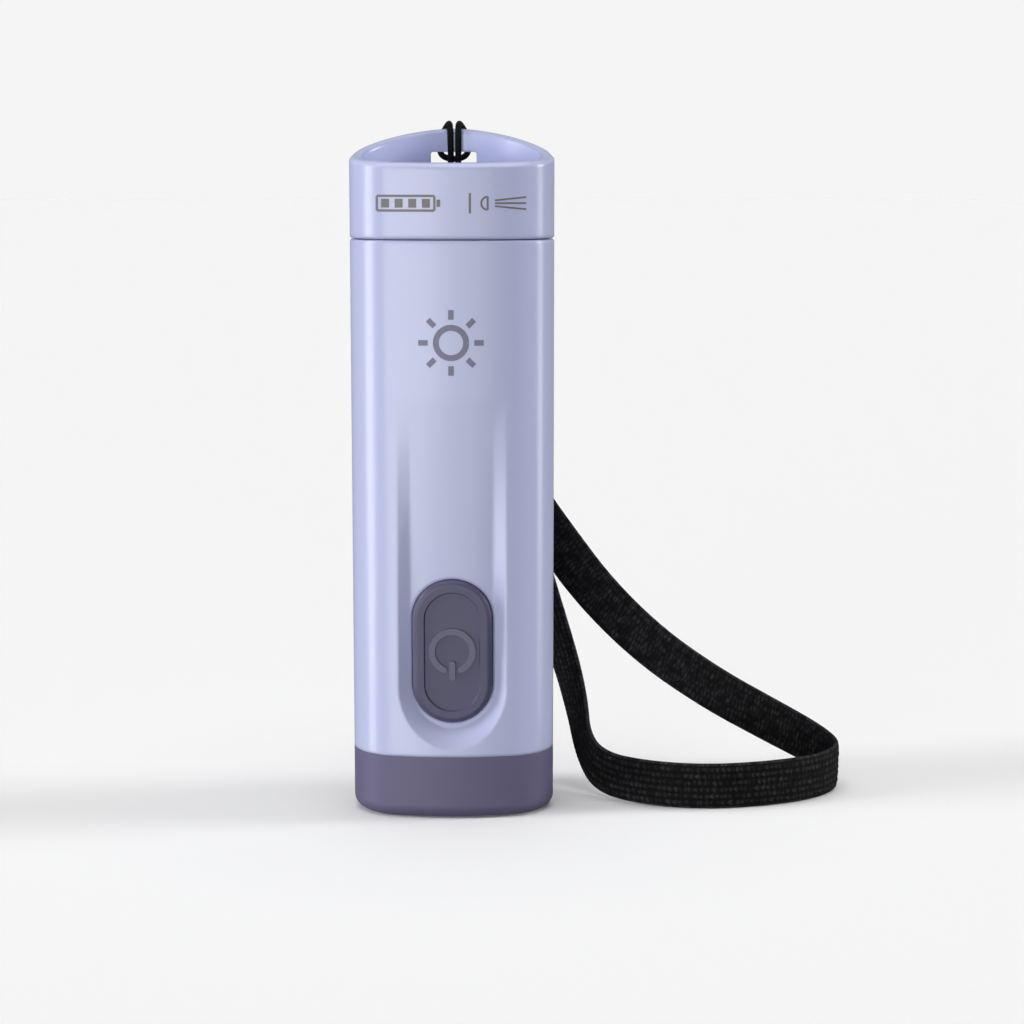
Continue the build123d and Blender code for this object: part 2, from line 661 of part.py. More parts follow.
with BuildPart() as switch_plunger:
    with BuildSketch(FLOOR_PLANE.offset(PLUNGER_TIP - PLUNGER_LENGTH)):
        Circle(PLUNGER_R)
    extrude(amount=PLUNGER_LENGTH)
switch_plunger.part.label = "switch_plunger"
export_step(switch_plunger.part, "parts/switch_plunger.step")

# ================================================================ electronics

# ---- driver board behind the button, and the parts soldered to its front
with BuildPart() as driver_board:
    with BuildSketch(FLOOR_PLANE.offset(BOARD_BACK)):
        with Locations((0, (BOARD_TOP_Y + BOARD_BOTTOM_Y) / 2)):
            RectangleRounded(BOARD_WIDTH, BOARD_TOP_Y - BOARD_BOTTOM_Y, BOARD_CORNER_R)
    extrude(amount=BOARD_THICKNESS)
driver_board.part.label = "driver_board"
export_step(driver_board.part, "parts/driver_board.step")

with BuildPart() as driver_chips:
    for x, y, width, height, rise in CHIPS:
        with BuildSketch(FLOOR_PLANE.offset(BOARD_FRONT)):
            with Locations((x, y)):
                Rectangle(width, height)
        extrude(amount=rise)
driver_chips.part.label = "driver_chips"
export_step(driver_chips.part, "parts/driver_chips.step")

# ---- LED, its metal-core board, the pins that feed it and the plate that cools it
with BuildPart() as led_emitter:
    with BuildSketch(Plane.XY.offset(REFLECTOR_TOP - LED_HEIGHT)):
        RectangleRounded(LED_SIZE, LED_SIZE, LED_CORNER_R)
    extrude(amount=LED_HEIGHT)
    with Locations((0, 0, REFLECTOR_TOP - LED_HEIGHT)):
        Sphere(LED_DOME_R, arc_size1=-90, arc_size2=0)
led_emitter.part.label = "led_emitter"
export_step(led_emitter.part, "parts/led_emitter.step")

with BuildPart() as led_board:
    with BuildSketch(Plane.XY.offset(REFLECTOR_TOP)):
        Circle(LED_BOARD_R)
    extrude(amount=LED_BOARD_THICKNESS)
led_board.part.label = "led_board"
export_step(led_board.part, "parts/led_board.step")

with BuildPart() as led_pins:
    with BuildSketch(Plane.XY.offset(SPREADER_BOTTOM)):
        with Locations((-LED_PIN_X, LED_PIN_Y), (LED_PIN_X, LED_PIN_Y)):
            Circle(LED_PIN_R)
    extrude(amount=LED_PIN_LENGTH)
led_pins.part.label = "led_pins"
export_step(led_pins.part, "parts/led_pins.step")

with BuildPart() as heat_spreader:
    with BuildSketch(Plane.XY.offset(SPREADER_BOTTOM)):
        Circle(SPREADER_R)
        with Locations((0, ENGINE_SCREWS[0][1])):
            RectangleRounded(2 * SPREADER_EAR_X, SPREADER_EAR_WIDTH, SPREADER_CORNER_R)
        with Locations((0, SPREADER_FRONT - SPREADER_R)):
            Rectangle(2 * SPREADER_R, 2 * SPREADER_R, mode=Mode.SUBTRACT)
        with Locations((0, LED_PIN_Y)):
            Rectangle(*PIN_WINDOW, mode=Mode.SUBTRACT)
        with Locations(*ENGINE_SCREWS):
            Circle(SCREW_R + SCREW_GAP, mode=Mode.SUBTRACT)
    extrude(amount=SPREADER_THICKNESS)
heat_spreader.part.label = "heat_spreader"
export_step(heat_spreader.part, "parts/heat_spreader.step")

# ================================================================ optics

with BuildPart() as lens:
    with BuildSketch(Plane.XY.offset(WINDOW_RIM)):
        Circle(LENS_R)
    extrude(amount=LENS_THICKNESS)
    chamfer(lens.edges(), LENS_CHAMFER)
lens.part.label = "lens"
export_step(lens.part, "parts/lens.step")

with BuildPart() as lens_seal:
    with Locations((0, 0, WINDOW_RIM + LENS_THICKNESS + SEAL_WIRE_R)):
        Torus(SEAL_R, SEAL_WIRE_R)
lens_seal.part.label = "lens_seal"
export_step(lens_seal.part, "parts/lens_seal.step")

# ---- reflector: a parabolic cup with a flange at its mouth
with BuildPart() as reflector:
    with BuildSketch(Plane.XZ):
        with BuildLine():
            Bezier(MOUTH, BOWL, THROAT)
            Line(THROAT, THROAT_BACK)
            Bezier(THROAT_BACK, BOWL_BACK, MOUTH_BACK)
            Polyline(MOUTH_BACK, FLANGE_INNER, FLANGE_TOP, FLANGE_FOOT, MOUTH)
        make_face()
    revolve(axis=Axis.Z)
reflector.part.label = "reflector"
export_step(reflector.part, "parts/reflector.step")

# ================================================================ fasteners


def screws(places, face, shank, head, up):
    """Screws whose heads stand on a level face, each size given as (radius, length)."""
    head_r, head_height = head
    shank_r, shank_length = shank
    with BuildPart() as group:
        with BuildSketch(Plane.XY.offset(face)):
            with Locations(*places):
                Circle(head_r)
        extrude(amount=up * head_height)
        with BuildSketch(Plane.XY.offset(face)):
            with Locations(*places):
                Circle(shank_r)
        extrude(amount=-up * shank_length)
        with BuildSketch(Plane.XY.offset(face + up * head_height)):
            with Locations(*places):
                RegularPolygon(SOCKET_SIZE * head_r, 6)
        extrude(amount=-up * SOCKET_DEPTH * head_height, mode=Mode.SUBTRACT)
    return group


ENGINE_SHANK = (SCREW_R, SPREADER_THICKNESS + SCREW_GRIP)
engine_screws = screws(ENGINE_SCREWS, SPREADER_TOP, ENGINE_SHANK, SCREW_HEAD, 1)
engine_screws.part.label = "engine_screws"
export_step(engine_screws.part, "parts/engine_screws.step")

PLATE_SHANK = (SMALL_SCREW_R, PLATE_THICKNESS + SMALL_SCREW_GRIP)
plate_screws = screws(PLATE_SCREWS, PLATE_BOTTOM, PLATE_SHANK, SMALL_SCREW_HEAD, -1)
plate_screws.part.label = "plate_screws"
export_step(plate_screws.part, "parts/plate_screws.step")

# ================================================================ power

# ---- inner frame: cradle for the cell, standing on the bezel's tongues
with BuildPart() as inner_frame:
    with BuildSketch(Plane.XY.offset(SPIGOT_TOP)):
        section(WALL + FRAME_GAP)
        with Locations((0, FRAME_FRONT - WIDTH / 2)):
            Rectangle(WIDTH, WIDTH, mode=Mode.SUBTRACT)
    extrude(amount=FRAME_TOP - SPIGOT_TOP)
    with BuildSketch(Plane.XY.offset(SPIGOT_TOP)):
        Rectangle(FRAME_CHAMBER_WIDTH, 2 * DEPTH)
    extrude(amount=FRAME_FLOOR - FRAME_DECK - SPIGOT_TOP, mode=Mode.SUBTRACT)
    with BuildSketch(Plane.XY.offset(FRAME_FLOOR)):
        with Locations((0, CELL_Y)):
            Circle(CELL_R + CELL_CLEARANCE)
        with Locations((0, CELL_Y - CELL_R)):
            Rectangle(2 * (CELL_R - FRAME_GRIP), 2 * CELL_R)
    extrude(amount=FRAME_TOP, mode=Mode.SUBTRACT)
    with BuildSketch(Plane.XY.offset(SPIGOT_TOP)):
        with Locations(*ENGINE_SCREWS):
            Circle(SCREW_RECESS[0])
    extrude(amount=SCREW_RECESS[1], mode=Mode.SUBTRACT)
    for window in range(FRAME_WINDOWS):
        with BuildSketch(Plane.XY.offset(WINDOW_BOTTOM + window * WINDOW_PITCH)):
            with Locations((-WIDTH / 2, WINDOW_Y), (WIDTH / 2, WINDOW_Y)):
                Rectangle(WIDTH - 2 * WINDOW_INNER_X, WINDOW_WIDTH)
        extrude(amount=WINDOW_HEIGHT, mode=Mode.SUBTRACT)
inner_frame.part.label = "inner_frame"
export_step(inner_frame.part, "parts/inner_frame.step")

# ---- AAA cell: steel can with its contact nub, and the printed sleeve round it
with BuildPart() as battery_cell:
    with BuildSketch(Plane.XY.offset(CELL_BOTTOM)):
        with Locations((0, CELL_Y)):
            Circle(CELL_NUB_R)
    extrude(amount=CELL_NUB_HEIGHT)
    with BuildSketch(Plane.XY.offset(CELL_BOTTOM + CELL_NUB_HEIGHT)):
        with Locations((0, CELL_Y)):
            Circle(CELL_R - SLEEVE_THICKNESS)
    extrude(amount=CELL_LENGTH - CELL_NUB_HEIGHT)
battery_cell.part.label = "battery_cell"
export_step(battery_cell.part, "parts/battery_cell.step")

with BuildPart() as battery_sleeve:
    with BuildSketch(Plane.XY.offset(CELL_BOTTOM + CELL_NUB_HEIGHT + SLEEVE_MARGIN)):
        with Locations((0, CELL_Y)):
            Circle(CELL_R)
            Circle(CELL_R - SLEEVE_THICKNESS, mode=Mode.SUBTRACT)
    extrude(amount=CELL_LENGTH - CELL_NUB_HEIGHT - 2 * SLEEVE_MARGIN)
battery_sleeve.part.label = "battery_sleeve"
export_step(battery_sleeve.part, "parts/battery_sleeve.step")

# ---- positive contact: strip under the nub that reaches forward to the driver board
with BuildPart() as positive_contact:
    with BuildSketch(Plane.XY.offset(FRAME_FLOOR)):
        with Locations((0, (CONTACT_FRONT + CONTACT_REAR) / 2)):
            Rectangle(CONTACT_WIDTH, CONTACT_REAR - CONTACT_FRONT)
    extrude(amount=CONTACT_THICKNESS)
    with BuildSketch(Plane.XY.offset(FRAME_FLOOR + CONTACT_THICKNESS)):
        with Locations((0, CELL_Y)):
            Circle(CONTACT_BUMP_R)
    extrude(amount=CELL_BOTTOM - FRAME_FLOOR - CONTACT_THICKNESS)
positive_contact.part.label = "positive_contact"
export_step(positive_contact.part, "parts/positive_contact.step")

# ---- ground strip: up the frame's front to a tab under the tail contact, with a leg to the board
with BuildPart() as ground_strip:
    with BuildSketch(Plane.XY.offset(STRIP_BOTTOM)):
        with Locations((STRIP_X, FRAME_FRONT - STRIP_THICKNESS / 2)):
            Rectangle(STRIP_WIDTH, STRIP_THICKNESS)
    extrude(amount=FRAME_TOP + STRIP_THICKNESS - STRIP_BOTTOM)
    with BuildSketch(Plane.XY.offset(FRAME_TOP)):
        with Locations((STRIP_X, FRAME_FRONT - STRIP_THICKNESS + STRIP_LAP / 2)):
            Rectangle(STRIP_WIDTH, STRIP_LAP)
    extrude(amount=STRIP_THICKNESS)
    with BuildSketch(Plane.XY.offset(STRIP_BOTTOM)):
        with Locations(((STRIP_X + LEG_X) / 2, FRAME_FRONT - STRIP_THICKNESS / 2)):
            Rectangle(STRIP_X - LEG_X + LEG_WIDTH, STRIP_THICKNESS)
        with Locations((LEG_X, FRAME_FRONT - LEG_REACH / 2)):
            Rectangle(LEG_WIDTH, LEG_REACH)
    extrude(amount=STRIP_TAB)
ground_strip.part.label = "ground_strip"
export_step(ground_strip.part, "parts/ground_strip.step")

# ---- tail contact: plate under the deck with a finger down to the ground strip, and its spring
with BuildPart() as tail_contact:
    with BuildSketch(Plane.XY.offset(PLATE_BOTTOM)):
        section(PLUG_INSET + PLUG_WALL + PLATE_GAP)
        with Locations(*PLATE_SCREWS):
            Circle(SMALL_SCREW_R + SCREW_GAP, mode=Mode.SUBTRACT)
    extrude(amount=PLATE_THICKNESS)
    with BuildSketch(Plane.XY.offset(FINGER_BOTTOM)):
        with Locations((FINGER_X, FRAME_FRONT + FINGER_THICKNESS)):
            Rectangle(FINGER_THICKNESS, FINGER_WIDTH)
    extrude(amount=PLATE_BOTTOM - FINGER_BOTTOM)
tail_contact.part.label = "tail_contact"
export_step(tail_contact.part, "parts/tail_contact.step")

with BuildPart() as tail_spring:
    with BuildLine() as coil:
        Helix(SPRING_HEIGHT / SPRING_TURNS, SPRING_HEIGHT, SPRING_R, center=(0, CELL_Y, SPRING_BOTTOM))
    with BuildSketch(Plane(origin=coil.line @ 0, z_dir=coil.line % 0)):
        Circle(SPRING_WIRE_R)
    sweep(is_frenet=True)
tail_spring.part.label = "tail_spring"
export_step(tail_spring.part, "parts/tail_spring.step")

# ================================================================ lanyard

with BuildPart() as strap_clamp:
    with BuildSketch(Plane.XY.offset(CLAMP_BOTTOM)):
        with Locations(CLAMP_CENTRE):
            Rectangle(CLAMP_WIDTH, CLAMP_DEPTH)
    extrude(amount=CLAMP_TOP - CLAMP_BOTTOM)
    fillet(strap_clamp.edges().filter_by(Axis.Z), CLAMP_EDGE_R)
strap_clamp.part.label = "strap_clamp"
export_step(strap_clamp.part, "parts/strap_clamp.step")

with BuildPart() as lanyard_cord:
    with BuildLine() as cord_line:
        FilletPolyline(*CORD_ROUTE, radius=corner_radii(CORD_ROUTE))
    with BuildSketch(Plane(origin=cord_line.line @ 0, z_dir=cord_line.line % 0)):
        Circle(CORD_DIAMETER / 2)
    sweep()
lanyard_cord.part.label = "lanyard_cord"
export_step(lanyard_cord.part, "parts/lanyard_cord.step")

with BuildPart() as lanyard_strap:
    with BuildLine() as strap_line:
        FilletPolyline(*STRAP_ROUTE, radius=corner_radii(STRAP_ROUTE))
    with BuildSketch(Plane(origin=strap_line.line @ 0, z_dir=strap_line.line % 0)):
        Circle(STRAP_TUBE_DIAMETER / 2)
    sweep()
lanyard_strap.part.label = "lanyard_strap"
export_step(lanyard_strap.part, "parts/lanyard_strap.step")

for name, piece, line, diameter, route in [
    ("cord", lanyard_cord, cord_line, CORD_DIAMETER, CORD_ROUTE),
    ("strap", lanyard_strap, strap_line, STRAP_TUBE_DIAMETER, STRAP_ROUTE),
]:
    radii = ", ".join(f"{radius:.1f}" for radius in corner_radii(route))
    length = line.wires()[0].length
    tube = length * pi * diameter**2 / 4
    print(f"{name}: length {length:.1f}, volume {piece.part.volume:.2f} of {tube:.2f}, radii {radii}")
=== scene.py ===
import json
from math import ceil, cos, pi, radians, sin, tau

import bpy
import numpy as np
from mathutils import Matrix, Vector


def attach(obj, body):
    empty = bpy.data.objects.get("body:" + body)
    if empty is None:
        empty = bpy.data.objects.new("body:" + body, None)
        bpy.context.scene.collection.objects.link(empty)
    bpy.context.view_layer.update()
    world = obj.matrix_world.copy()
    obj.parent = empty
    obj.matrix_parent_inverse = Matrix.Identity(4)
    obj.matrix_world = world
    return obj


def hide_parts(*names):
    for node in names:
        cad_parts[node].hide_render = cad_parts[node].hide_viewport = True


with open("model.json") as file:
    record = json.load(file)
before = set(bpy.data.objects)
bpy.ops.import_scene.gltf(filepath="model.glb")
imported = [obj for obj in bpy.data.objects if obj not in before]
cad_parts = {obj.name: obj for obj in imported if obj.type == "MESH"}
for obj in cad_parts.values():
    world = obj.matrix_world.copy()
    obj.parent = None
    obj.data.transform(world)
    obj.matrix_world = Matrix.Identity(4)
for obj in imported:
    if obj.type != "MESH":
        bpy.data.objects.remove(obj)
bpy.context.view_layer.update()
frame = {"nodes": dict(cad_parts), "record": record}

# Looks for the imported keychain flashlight. Lengths are metres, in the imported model's own frame:
# +Z runs up the body, -Y is the front, and the origin is in the middle of the base.

MM = 0.001
NODES = frame["nodes"]

# ---------------------------------------------------------------- camera

CAMERA_PLACE = (0.00762, -0.3111, 0.0838)
CAMERA_PITCH = radians(8.283)
CAMERA_LENS = 85
CAMERA_SENSOR = 36


def make_camera():
    """Point a long lens a little downwards at the flashlight."""
    data = bpy.data.cameras.new("main_view")
    data.lens = CAMERA_LENS
    data.sensor_width = CAMERA_SENSOR
    camera = bpy.data.objects.new("main_view", data)
    camera.location = CAMERA_PLACE
    camera.rotation_euler = (pi / 2 - CAMERA_PITCH, 0, 0)
    bpy.context.collection.objects.link(camera)
    bpy.context.scene.camera = camera


make_camera()

# ---------------------------------------------------------------- routes of the cord and the strap

# Control points in millimetres, close to the centre lines in the CAD script. The left leg of the cord
# climbs from the clamp, goes in through the slot, up over the hoop's back wall and round to the bight.
# The right leg comes back the same way.
LEFT_LEG = [
    (7.05, 13.5, 53.0),
    (7.05, 13.5, 57.0),
    (6.3, 13.3, 63.6),
    (4.2, 12.8, 70.6),
    (1.5, 12.0, 76.2),
    (-0.15, 11.2, 79.3),
    (-0.45, 10.35, 81.1),
    (-0.4, 8.9, 82.45),
    (-0.36, 7.6, 83.7),
    (-0.36, 7.33, 85.3),
    (-0.4, 7.3, 86.95),
    (-0.45, 7.5, 88.15),
    (-0.58, 8.75, 88.6),
    (-1.0, 9.95, 88.1),
    (-1.75, 10.15, 86.8),
    (-2.0, 10.0, 85.5),
    (-1.65, 10.1, 84.35),
    (-0.6, 10.3, 83.95),
]
RIGHT_LEG = [
    (0.6, 10.3, 83.95),
    (1.65, 10.1, 84.35),
    (2.05, 10.0, 85.5),
    (1.85, 10.15, 86.8),
    (1.1, 9.95, 88.1),
    (0.72, 8.75, 88.6),
    (0.64, 7.5, 88.15),
    (0.62, 7.3, 86.95),
    (0.62, 7.33, 85.3),
    (0.62, 7.6, 83.7),
    (0.6, 8.9, 82.45),
    (0.65, 10.35, 81.1),
    (1.1, 11.2, 79.3),
    (2.75, 12.05, 76.2),
    (5.3, 12.85, 70.6),
    (7.35, 13.3, 63.6),
    (7.95, 13.5, 57.0),
    (7.95, 13.5, 53.0),
]
# The two ends of the webbing lie on each other in the clamp
STRAP_ROUTE = [
    (7.5, 14.05, 46.0),
    (7.8, 14.1, 42.5),
    (9.8, 14.4, 38.0),
    (13.4, 14.6, 32.9),
    (19.2, 14.6, 25.1),
    (26.8, 14.9, 17.6),
    (35.4, 15.1, 11.6),
    (43.6, 14.5, 7.2),
    (49.6, 12.2, 4.3),
    (51.9, 7.2, 3.3),
    (49.0, 1.6, 3.0),
    (42.0, -2.7, 3.05),
    (33.5, -4.6, 3.0),
    (25.5, -3.0, 3.05),
    (19.4, 2.0, 3.2),
    (17.3, 8.2, 5.2),
    (16.5, 12.2, 10.2),
    (14.8, 13.4, 16.6),
    (12.0, 13.3, 24.4),
    (9.2, 13.0, 32.4),
    (7.7, 12.95, 38.2),
    (7.5, 12.95, 42.4),
    (7.5, 12.95, 46.0),
]
CORD_WIDTH = 0.84
STRAP_WIDTH = 6.0
ROUTE_DETAIL = 24


def line_through(name, route):
    """Evenly dense points, in metres, on the NURBS spline whose control points are the route."""
    curve = bpy.data.curves.new(name, "CURVE")
    curve.dimensions = "3D"
    curve.resolution_u = ROUTE_DETAIL
    spline = curve.splines.new("NURBS")
    spline.points.add(len(route) - 1)
    for point, place in zip(spline.points, route):
        point.co = (*(MM * value for value in place), 1)
    spline.order_u = 3
    spline.use_endpoint_u = True
    holder = bpy.data.objects.new(name, curve)
    bpy.context.collection.objects.link(holder)
    mesh = bpy.data.meshes.new_from_object(holder)
    points = np.array([vertex.co for vertex in mesh.vertices])
    bpy.data.objects.remove(holder)
    bpy.data.curves.remove(curve)
    bpy.data.meshes.remove(mesh)
    return points


def evenly(points, step):
    """The same line with its points about one step apart, and its length."""
    reach = np.concatenate([[0], np.cumsum(np.linalg.norm(np.diff(points, axis=0), axis=1))])
    places = np.linspace(0, reach[-1], ceil(reach[-1] / step) + 1)
    return np.stack([np.interp(places, reach, points[:, i]) for i in range(3)], axis=1), reach[-1]


def unit(vectors):
    """Vectors scaled to length 1."""
    return vectors / np.linalg.norm(vectors, axis=-1, keepdims=True)


def smoothed(values, width):
    """A running mean over a few neighbours, which keeps the ends."""
    padded = np.pad(values, ((width, width), (0, 0)), mode="edge")
    kernel = np.ones(2 * width + 1) / (2 * width + 1)
    return np.stack([np.convolve(column, kernel, "valid") for column in padded.T], axis=1)


def tangents(points):
    """Unit direction of a line at each of its points."""
    return unit(np.gradient(points, axis=0))


def skin(name, grids, material, smooth=True):
    """A piece of closed tubes: each grid is rings of points, with a face across each end."""
    vertices = []
    faces = []
    for rings in grids:
        first = len(vertices)
        count, sides = rings.shape[:2]
        vertices.extend(rings.reshape(-1, 3).tolist())
        for i in range(count - 1):
            low = first + i * sides
            for j in range(sides):
                k = (j + 1) % sides
                faces.append((low + j, low + k, low + sides + k, low + sides + j))
        faces.append([first + j for j in reversed(range(sides))])
        faces.append([first + (count - 1) * sides + j for j in range(sides)])
    mesh = bpy.data.meshes.new(name)
    mesh.from_pydata(vertices, [], faces)
    mesh.polygons.foreach_set("use_smooth", [smooth] * len(faces))
    mesh.update()
    piece = bpy.data.objects.new(name, mesh)
    bpy.context.collection.objects.link(piece)
    piece.data.materials.append(material)
    return piece


# ---------------------------------------------------------------- shader helpers


def add(tree, kind, inputs=None, **settings):
    """A shader node with its settings made and its inputs set, or linked to other nodes' outputs."""
    made = tree.nodes.new("ShaderNode" + kind)
    for name, value in settings.items():
        setattr(made, name, value)
    for name, value in (inputs or {}).items():
        if isinstance(value, bpy.types.NodeSocket):
            tree.links.new(value, made.inputs[name])
        else:
            made.inputs[name].default_value = value
    return made


def new_material(name, **sockets):
    """A material with one Principled shader, its coordinates, and its fixed sockets set."""
    material = bpy.data.materials.new(name)
    material.use_nodes = True
    tree = material.node_tree
    shader = tree.nodes["Principled BSDF"]
    for label, value in sockets.items():
        shader.inputs[label.replace("_", " ")].default_value = value
    place = add(tree, "TexCoord").outputs["Object"]
    return material, tree, shader, place


def noise(tree, place, size, detail=2.0, roughness=0.5, stretch=(1, 1, 1)):
    """Noise, from 0 to 1, with features of about size millimetres."""
    scale = tuple(1 / (MM * size) * value for value in stretch)
    spread = add(tree, "Mapping", {"Vector": place, "Scale": scale})
    inputs = {"Vector": spread.outputs[0], "Scale": 1.0, "Detail": detail, "Roughness": roughness}
    return add(tree, "TexNoise", inputs).outputs["Fac"]


def between(tree, amount, low, high, start=0.0, end=1.0):
    """A value that runs from low to high as amount runs from start to end."""
    inputs = {"Value": amount, "From Min": start, "From Max": end, "To Min": low, "To Max": high}
    return add(tree, "MapRange", inputs).outputs["Result"]


def mixed(tree, amount, first, second):
    """A colour between two colours."""
    made = add(tree, "Mix", data_type="RGBA")
    colours = [socket for socket in made.inputs if socket.type == "RGBA"]
    for socket, value in zip([made.inputs[0], *colours], (amount, first, second)):
        if isinstance(value, bpy.types.NodeSocket):
            tree.links.new(value, socket)
        else:
            socket.default_value = value
    return next(socket for socket in made.outputs if socket.type == "RGBA")


BEVEL_SAMPLES = 6


def bumped(tree, shader, height, depth, strength=1.0, edge=0.0):
    """Give the shader a bump of that depth, and rounded edges of that radius, in millimetres."""
    inputs = {"Height": height, "Strength": strength, "Distance": MM * depth}
    if edge:
        bevel = add(tree, "Bevel", {"Radius": MM * edge}, samples=BEVEL_SAMPLES)
        inputs["Normal"] = bevel.outputs[0]
    bump = add(tree, "Bump", inputs)
    tree.links.new(bump.outputs[0], shader.inputs["Normal"])


def shade(colour, factor):
    """A colour made lighter or darker."""
    return (*(min(1.0, value * factor) for value in colour[:3]), 1.0)


# Sizes in millimetres of the soft clouds in a plastic's colour and in its gloss
COLOUR_CLOUD = 9.0
GLOSS_CLOUD = 3.0
GLOSS_SPREAD = 0.03


def plastic(name, colour, rough, grain, depth, spread=0.04, edge=0.0, **sockets):
    """Moulded plastic or rubber: slightly cloudy colour and gloss, and a fine grain of that depth."""
    material, tree, shader, place = new_material(name, **sockets)
    cloud = noise(tree, place, COLOUR_CLOUD, detail=3.0)
    tone = mixed(tree, cloud, shade(colour, 1 - spread), shade(colour, 1 + spread))
    tree.links.new(tone, shader.inputs["Base Color"])
    haze = noise(tree, place, GLOSS_CLOUD)
    gloss = between(tree, haze, rough - GLOSS_SPREAD, rough + GLOSS_SPREAD)
    tree.links.new(gloss, shader.inputs["Roughness"])
    texture = noise(tree, place, grain, detail=3.0, roughness=0.6)
    bumped(tree, shader, texture, depth, edge=edge)
    return material


# Sizes in millimetres of a metal's drawn lines and of its tarnish
LINE_SIZE = 0.25
TARNISH_SIZE = 2.5


def metal(name, colour, rough, stretch):
    """Metal with fine drawn or turned lines and slight tarnish."""
    material, tree, shader, place = new_material(name, Metallic=1.0)
    lines = noise(tree, place, LINE_SIZE, detail=4.0, stretch=stretch)
    stain = noise(tree, place, TARNISH_SIZE, detail=3.0)
    tree.links.new(mixed(tree, stain, shade(colour, 0.85), colour), shader.inputs["Base Color"])
    gloss = between(tree, lines, rough - 0.08, rough + 0.1, start=0.3, end=0.7)
    tree.links.new(gloss, shader.inputs["Roughness"])
    bumped(tree, shader, lines, depth=0.01, strength=0.6)
    return material


def paint(red, green, blue):
    """A linear colour from sRGB values of 0 to 255, by the standard curve."""
    return (*(((value / 255 + 0.055) / 1.055) ** 2.4 for value in (red, green, blue)), 1.0)


# ---------------------------------------------------------------- cord and strap materials

# The first colour is the yarn's dark tone, and also the painted shade in the weave's low places.
BLACK_YARN_AND_SHADE = paint(10, 10, 11)
CORD_YARN = paint(30, 30, 32)
STRAP_YARN = paint(72, 72, 76)
YARN_SHINE = 0.12
# Size of a patch of slack stitches, in fibres
SLACK_PATCH = 7


def yarn(name, colour, fibre_size):
    """Matt synthetic yarn: painted shade between the stitches, with fine fibres and uneven tension."""
    material, tree, shader, place = new_material(name, Specular_IOR_Level=YARN_SHINE)
    relief = add(tree, "Attribute", attribute_name="relief").outputs["Fac"]
    fibres = noise(tree, place, fibre_size, detail=4.0, roughness=0.7)
    slack = noise(tree, place, SLACK_PATCH * fibre_size)
    # Painted shade: the low places of the weave take the dark colour, the crests the yarn's own colour.
    raised_unshaded = between(tree, relief, 0.0, 1.0, start=0.3, end=0.95)
    tone = mixed(tree, raised_unshaded, BLACK_YARN_AND_SHADE, colour)
    for dark in (
        between(tree, fibres, 0.0, 0.7, start=0.4, end=0.65),
        between(tree, slack, 0.0, 0.8, start=0.4, end=0.62),
    ):
        tone = mixed(tree, dark, tone, BLACK_YARN_AND_SHADE)
    tree.links.new(tone, shader.inputs["Base Color"])
    tree.links.new(between(tree, fibres, 0.65, 0.9), shader.inputs["Roughness"])
    bumped(tree, shader, fibres, depth=0.08, strength=0.8)
    return material


def add_relief(piece, relief):
    """Store each vertex's height in the weave, from 0 to 1, for the shader, which paints shade into the
    low places.
    """
    layer = piece.data.attributes.new("relief", "FLOAT", "POINT")
    layer.data.foreach_set("value", relief.ravel().astype(float))


# The usual factors of a sine hash, which only have to be large and unrelated
HASH_FACTORS = (12.9898, 78.233, 37.719)
HASH_SCALE = 43758.5453


def scatter(*keys):
    """Repeatable noise from 0 to 1 for whole-number keys."""
    mix = sum(key * factor for key, factor in zip(keys, HASH_FACTORS))
    return np.modf(np.abs(np.sin(mix) * HASH_SCALE))[0]


# ---------------------------------------------------------------- cord: braided

CORD_STEP = 0.08
CORD_SIDES = 20
BRAID_PITCH = 0.95
BRAID_STARTS = 4
BRAID_DEPTH = 0.1
CORD_FIBRE = 0.12


def carried_normals(directions, start):
    """Normals carried along a line without twist."""
    normals = [start]
    for heading in directions[1:]:
        normal = normals[-1] - heading * np.dot(heading, normals[-1])
        normals.append(normal / np.linalg.norm(normal))
    return np.array(normals)


def make_cord():
    """Tube along the cord's route, with the crossing strands of its braid."""
    points, length = evenly(line_through("cord_route", LEFT_LEG + RIGHT_LEG), MM * CORD_STEP)
    headings = tangents(points)
    across = carried_normals(headings, np.array([1.0, 0.0, 0.0]))
    upright = np.cross(headings, across)
    along = np.linspace(0, length / MM, len(points))[:, None]
    turn = np.arange(CORD_SIDES)[None, :] / CORD_SIDES
    strands = np.cos(tau * (BRAID_STARTS * turn / 2 + along / BRAID_PITCH))
    strands = strands * np.cos(tau * (BRAID_STARTS * turn / 2 - along / BRAID_PITCH))
    # The braid's height shapes the tube, and the shader paints shade where it is low.
    relief = 0.5 + 0.5 * strands
    radius = MM * CORD_WIDTH / 2 * (1 - BRAID_DEPTH * (1 - relief))
    angle = tau * turn
    rings = points[:, None] + radius[..., None] * (
        np.cos(angle)[..., None] * across[:, None] + np.sin(angle)[..., None] * upright[:, None]
    )
    piece = skin("cord", [rings], yarn("cord_yarn", CORD_YARN, CORD_FIBRE))
    add_relief(piece, relief)
    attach(piece, "tail")
    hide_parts("lanyard_cord")


# ---------------------------------------------------------------- strap: flat knitted webbing

STRAP_STEP = 0.2
STRAP_THICKNESS = 1.0
STRAP_FIBRE = 0.14
STRAP_FACE_POINTS = 38
# Half the angle, in radians, over which a sine crowds the face's points towards its edges
EDGE_CROWDING = 1.25
# The higher this power, the flatter the band's face and the tighter the round of its edges
CROWN_POWER = 6
# Ribs across the band, length of one stitch and of one float inside, and depth of the knit
WALES = 6
STITCH = 0.72
FLOAT = 0.8 * STITCH
KNIT_DEPTH = 0.16
# How far a stitch's arms and a float slant
CHEVRON_SLANT = 0.7
FLOAT_SLANT = 0.3
# Uneven tension: a slow and a quick wave along the band, as shares of a stitch, and their rates
SLOW_WAVE = 0.3
SLOW_RATE = 0.9
QUICK_WAVE = 0.16
QUICK_RATE = 2.3
